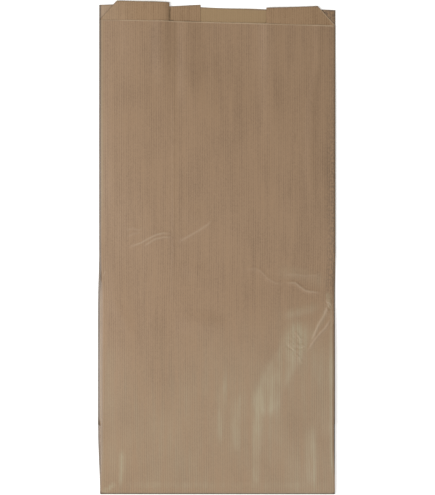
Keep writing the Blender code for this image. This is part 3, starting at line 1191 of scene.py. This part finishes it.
def fibre_colour(paper, base):
    """The paper's colour, shaded by its ribs and patterns."""
    share = paper.math("MULTIPLY_ADD", paper.rib, RIB_SHADE, EVEN_SHADE)
    for name, (*_, reach) in PAPER_PATTERNS.items():
        share = paper.math("ADD", share, paper.spread(paper.patterns[name], -reach, reach))
    return paper.mix(share, (*base, 1.0), (*paper.finish.dark_fibre, 1.0))


def fibre_relief(paper):
    """The height of the ribs, fibres and streaks."""
    relief = paper.times(paper.rib, paper.finish.rib_depth)
    relief = paper.math("MULTIPLY_ADD", paper.patterns["fibre"], FIBRE_HEIGHT, relief)
    return paper.math("MULTIPLY_ADD", paper.patterns["streak"], STREAK_HEIGHT, relief)


def uneven_roughness(paper):
    """How far the roughness strays from its even value."""
    rough = paper.spread(paper.patterns["streak"], -STREAK_ROUGHNESS, STREAK_ROUGHNESS)
    mottle = paper.spread(paper.patterns["mottle"], -MOTTLE_ROUGHNESS, MOTTLE_ROUGHNESS)
    return paper.math("ADD", rough, mottle)


def patchy_glaze_and_sheen(paper):
    """How much of the glaze and its painted sheen shows, by patches, streaks and ribs."""
    return paper.times(
        paper.attribute("glaze_and_sheen"),
        paper.spread(paper.pattern(*GLAZE_AND_SHEEN_PATCHES), *GLAZE_AND_SHEEN_BY_PATCH),
        paper.range(paper.patterns["streak"], *STREAK_RANGE, *GLAZE_AND_SHEEN_BY_STREAK),
        paper.math("MULTIPLY_ADD", paper.rib, GLAZE_AND_SHEEN_ON_RIBS, 1.0),
    )


def pressed_line(paper):
    """The zigzag line over the left inner fold, from the middle of the bag to its mouth."""
    middle = paper.finish.inner_fold - PRESS_WANDER / 2
    away = paper.math("MULTIPLY_ADD", paper.pattern(*PRESS_ZIGZAG), PRESS_WANDER, middle)
    away = paper.math("ABSOLUTE", paper.math("ADD", paper.across, away))
    return paper.times(paper.range(away, *PRESS_WIDTH, 1.0, 0.0), paper.range(paper.along, *PRESS_FROM))


def speckle_wear_and_shade(paper):
    """Fine dark speckle: wear along the front's right fold, and painted shade in the right gusset's corner at
    the mouth.
    """
    at_edge = paper.times(
        paper.range(paper.across, *EDGE_ACROSS),
        paper.math("LESS_THAN", paper.across, SHEET_GAP),
        paper.range(paper.along, *EDGE_FROM),
        paper.range(paper.along, *EDGE_TO, 1.0, EDGE_LEFT_OVER),
    )
    # Painted shade in the right gusset's corner
    painted_shade_corner = paper.times(
        paper.math("GREATER_THAN", paper.across, RIGHT_SIDE_ON_SHEET + CORNER_ACROSS),
        paper.math("LESS_THAN", paper.across, LEFT_SIDE_ON_SHEET - SHEET_GAP),
        paper.range(paper.along, *CORNER_FROM, 0.0, CORNER_SHADE),
    )
    speckle = paper.range(paper.pattern(*SPECKLE), *SPECKLE_RANGE, 0.0, SPECKLE_SHADE)
    return paper.times(speckle, paper.math("ADD", at_edge, painted_shade_corner))


def cut_wear_and_shade(paper, colour):
    """Pale fibres at the cut mouth, painted shade at the cut where little of them shows, and darker paper
    along the folds, partly wear and partly painted shade.
    """
    pale = paper.attribute("pale_cut")
    at_cut = paper.range(paper.attribute("from_cut"), *CUT_WIDTH, CUT_SHADE, 0.0)
    colour = paper.tint(colour, paper.times(at_cut, pale), paper.finish.cut_edge)
    # Painted shade along the cut where it shows little paleness
    painted_cut_shade = paper.math("MULTIPLY_ADD", pale, -CUT_PAINTED_SHADE, CUT_PAINTED_SHADE)
    colour = paper.tint(colour, paper.times(at_cut, painted_cut_shade), paper.finish.worn_and_shaded_fold)
    # Darker folds: partly wear and partly painted shade
    at_fold = paper.range(paper.attribute("from_fold"), *FOLD_WIDTH, 1.0, 0.0)
    wear_and_shade = paper.math("MINIMUM", paper.times(at_fold, paper.attribute("fold_wear_and_shade")), FOLD_SHADE)
    return paper.tint(colour, wear_and_shade, paper.finish.worn_and_shaded_fold)


def give_to_shader(paper, colour, rough, relief, specular_level):
    """Link one face's colour, roughness and relief to its shader."""
    shader = paper.nodes["Principled BSDF"]
    shader.inputs["Specular IOR Level"].default_value = specular_level
    shader.inputs["IOR"].default_value = 1.5
    paper.give(shader.inputs["Base Color"], cut_wear_and_shade(paper, colour))
    paper.give(shader.inputs["Roughness"], rough)
    surface = paper.add("ShaderNodeBump", Height=relief, Strength=1.0, Distance=1.0)
    paper.give(shader.inputs["Normal"], surface.outputs[0])


def glazed_kraft(finish):
    """The outside: ribbed kraft with its glaze and painted sheen, pale crests and painted light, speckle and
    painted shade, a pressed line and crumpled patches.
    """
    material = bpy.data.materials.new("glazed_kraft")
    paper = PaperGraph(material, finish)
    glaze_and_sheen = patchy_glaze_and_sheen(paper)
    colour = fibre_colour(paper, finish.paper)
    # Painted sheen: the colour turns paler and greener where the glaze shows
    colour = paper.tint(colour, paper.times(glaze_and_sheen, PAINTED_SHEEN_SHARE), finish.painted_sheen)
    # Paler crease crests, partly crease whitening and partly painted highlight, and painted light on the left
    # gusset
    colour = paper.tint(colour, paper.times(paper.attribute("crest_and_painted_light"), CREST_AND_PAINTED_LIGHT_SHARE), finish.pale_crest_and_painted_light)
    colour = paper.tint(colour, speckle_wear_and_shade(paper), finish.worn_and_shaded_fold)
    even = paper.range(glaze_and_sheen, 0.0, 1.0, finish.roughness, finish.glazed_roughness)
    rough = paper.math("ADD", uneven_roughness(paper), even)
    relief = paper.math("MULTIPLY_ADD", pressed_line(paper), PRESS_HEIGHT, fibre_relief(paper))
    crumple = paper.times(paper.pattern(*CRUMPLE), paper.attribute("crumple"))
    relief = paper.math("MULTIPLY_ADD", crumple, CRUMPLE_HEIGHT, relief)
    give_to_shader(paper, colour, rough, relief, finish.specular_level)
    return material


def matt_kraft(finish, seam_edge):
    """The inside: painted light that makes the back's right half paler and yellower, and the left gusset paler
    beside the front.
    """
    material = bpy.data.materials.new("matt_kraft")
    paper = PaperGraph(material, finish)
    # Painted light: the back's right half paler and yellower
    painted_lit_half = paper.times(
        paper.math("GREATER_THAN", paper.across, BACK_ON_SHEET + seam_edge),
        paper.math("LESS_THAN", paper.across, RIGHT_SIDE_ON_SHEET - SHEET_GAP),
        PAINTED_LIGHT_HALF_SHARE,
    )
    strip_start, strip_end = (LEFT_SIDE_ON_SHEET + reach for reach in STRIP_ACROSS)
    # Painted light: the left gusset paler beside the front
    painted_light_strip = paper.times(
        paper.math("GREATER_THAN", paper.across, LEFT_SIDE_ON_SHEET - SHEET_GAP),
        paper.range(paper.across, strip_start, strip_end, STRIP_PAINTED_LIGHT, 0.0),
    )
    colour = paper.tint(fibre_colour(paper, finish.inside), painted_lit_half, finish.painted_lit_inside)
    colour = paper.tint(colour, painted_light_strip, finish.pale_crest_and_painted_light)
    rough = paper.math("ADD", uneven_roughness(paper), finish.inside_roughness)
    give_to_shader(paper, colour, rough, fibre_relief(paper), INSIDE_SPECULAR)
    return material


def floor_material(look):
    """A pale table that the camera sees as white, with the bag's shadow on it."""
    material = bpy.data.materials.new("pale_table")
    graph = Graph(material)
    shader = graph.nodes["Principled BSDF"]
    shader.inputs["Base Color"].default_value = (look.floor_tone, look.floor_tone, look.floor_tone, 1.0)
    shader.inputs["Roughness"].default_value = 0.9
    shader.inputs["Specular IOR Level"].default_value = 0.1
    path = graph.add("ShaderNodeLightPath")
    seen = graph.math("MAXIMUM", path.outputs["Is Camera Ray"], path.outputs["Is Glossy Ray"])
    seen = graph.math("MAXIMUM", seen, path.outputs["Is Transmission Ray"])
    graph.give(shader.inputs["Emission Color"], (1.0, 1.0, 1.0, 1.0))
    graph.give(shader.inputs["Emission Strength"], graph.math("MULTIPLY", seen, look.floor_glow))
    return material


def sky(look):
    """Even light for the object, and white where the camera looks past the table."""
    world = bpy.data.worlds.new("even_light")
    bpy.context.scene.world = world
    world.use_nodes = True
    nodes, links = world.node_tree.nodes, world.node_tree.links
    nodes.clear()
    path = nodes.new("ShaderNodeLightPath")
    lit = nodes.new("ShaderNodeBackground")
    lit.inputs["Color"].default_value = (1.0, 0.99, 0.97, 1.0)
    lit.inputs["Strength"].default_value = look.sky_strength
    seen = nodes.new("ShaderNodeBackground")
    seen.inputs["Color"].default_value = (1.0, 1.0, 1.0, 1.0)
    seen.inputs["Strength"].default_value = 1.0
    choice = nodes.new("ShaderNodeMixShader")
    out = nodes.new("ShaderNodeOutputWorld")
    links.new(path.outputs["Is Camera Ray"], choice.inputs["Fac"])
    links.new(lit.outputs[0], choice.inputs[1])
    links.new(seen.outputs[0], choice.inputs[2])
    links.new(choice.outputs[0], out.inputs["Surface"])


def area_lamp(name, power, place, aim, size, colour):
    """A soft square lamp, turned to its aim."""
    lamp = bpy.data.lights.new(name, "AREA")
    lamp.size = size
    lamp.energy = power
    lamp.color = colour
    holder = bpy.data.objects.new(name, lamp)
    bpy.context.collection.objects.link(holder)
    holder.location = place
    holder.rotation_euler = (Vector(aim) - Vector(place)).to_track_quat("-Z", "Y").to_euler()


class BAG_OT_fold_sheet(bpy.types.Operator):
    """Fold the kraft sheet into the flat bag"""

    bl_idname = "bag.fold_sheet"
    bl_label = "Fold bag"

    def execute(self, context):
        sizes = context.scene.bag_sizes
        finish = context.scene.kraft_finish
        bag = FoldedBag(sizes)
        sheet, weights = folded_sheet(bag, sizes)
        mesh = bpy.data.meshes.new("kraft_bag")
        sheet.to_mesh(mesh)
        sheet.free()
        if not mesh.polygons:
            raise RuntimeError("the sheet has no faces to fold")
        mesh.shade_smooth()
        mesh.set_sharp_from_angle(angle=SHARP_ANGLE)
        mesh.materials.append(glazed_kraft(finish))
        mesh.materials.append(matt_kraft(finish, sizes.seam_edge))
        piece = bpy.data.objects.new("kraft_bag", mesh)
        context.collection.objects.link(piece)
        add_paper_wall(piece, weights, bag)
        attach(piece, "root")
        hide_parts("paper_bag")
        return {"FINISHED"}


class BAG_OT_set_stage(bpy.types.Operator):
    """Set the table, the lamps and the camera"""

    bl_idname = "bag.set_stage"
    bl_label = "Set stage"

    def execute(self, context):
        look = context.scene.stage_look
        floor = bmesh.new()
        bmesh.ops.create_grid(floor, x_segments=4, y_segments=4, size=look.floor_size / 2)
        mesh = bpy.data.meshes.new("pale_table")
        floor.to_mesh(mesh)
        floor.free()
        table = bpy.data.objects.new("pale_table", mesh)
        context.collection.objects.link(table)
        mesh.materials.append(floor_material(look))
        sky(look)
        area_lamp("window", look.key_power, *WINDOW)
        area_lamp("low_sheen", look.sheen_power, *LOW_SHEEN)
        self.aim_camera(context, look)
        context.scene.view_settings.view_transform = "Standard"
        return {"FINISHED"}

    def aim_camera(self, context, look):
        """Look straight down, with the bag as large as in the picture."""
        picture_height = PICTURE_PIXELS * METRES_PER_PIXEL
        data = bpy.data.cameras.new("camera")
        data.sensor_fit = "VERTICAL"
        data.sensor_height = SENSOR_HEIGHT
        data.lens = look.lens
        camera = bpy.data.objects.new("camera", data)
        context.collection.objects.link(camera)
        camera.location = (*PICTURE_MIDDLE, picture_height * look.lens / SENSOR_HEIGHT)
        context.scene.camera = camera


class BAG_PT_panel(bpy.types.Panel):
    """Sizes, finish and stage of the bag"""

    bl_idname = "BAG_PT_panel"
    bl_label = "Lunch Bag"
    bl_space_type = "VIEW_3D"
    bl_region_type = "UI"
    bl_category = "Lunch Bag"

    def draw(self, context):
        scene = context.scene
        for group in (scene.bag_sizes, scene.kraft_finish, scene.stage_look):
            box = self.layout.box()
            for name in group.__annotations__:
                box.prop(group, name)
        self.layout.operator(BAG_OT_fold_sheet.bl_idname)
        self.layout.operator(BAG_OT_set_stage.bl_idname)


CLASSES = (BagSizes, KraftFinish, StageLook, BAG_OT_fold_sheet, BAG_OT_set_stage, BAG_PT_panel)


def register():
    for item in CLASSES:
        bpy.utils.register_class(item)
    bpy.types.Scene.bag_sizes = PointerProperty(type=BagSizes)
    bpy.types.Scene.kraft_finish = PointerProperty(type=KraftFinish)
    bpy.types.Scene.stage_look = PointerProperty(type=StageLook)


def unregister():
    del bpy.types.Scene.stage_look
    del bpy.types.Scene.kraft_finish
    del bpy.types.Scene.bag_sizes
    for item in reversed(CLASSES):
        bpy.utils.unregister_class(item)


def main():
    register()
    bpy.ops.bag.fold_sheet()
    bpy.ops.bag.set_stage()


if __name__ == "__main__":
    main()
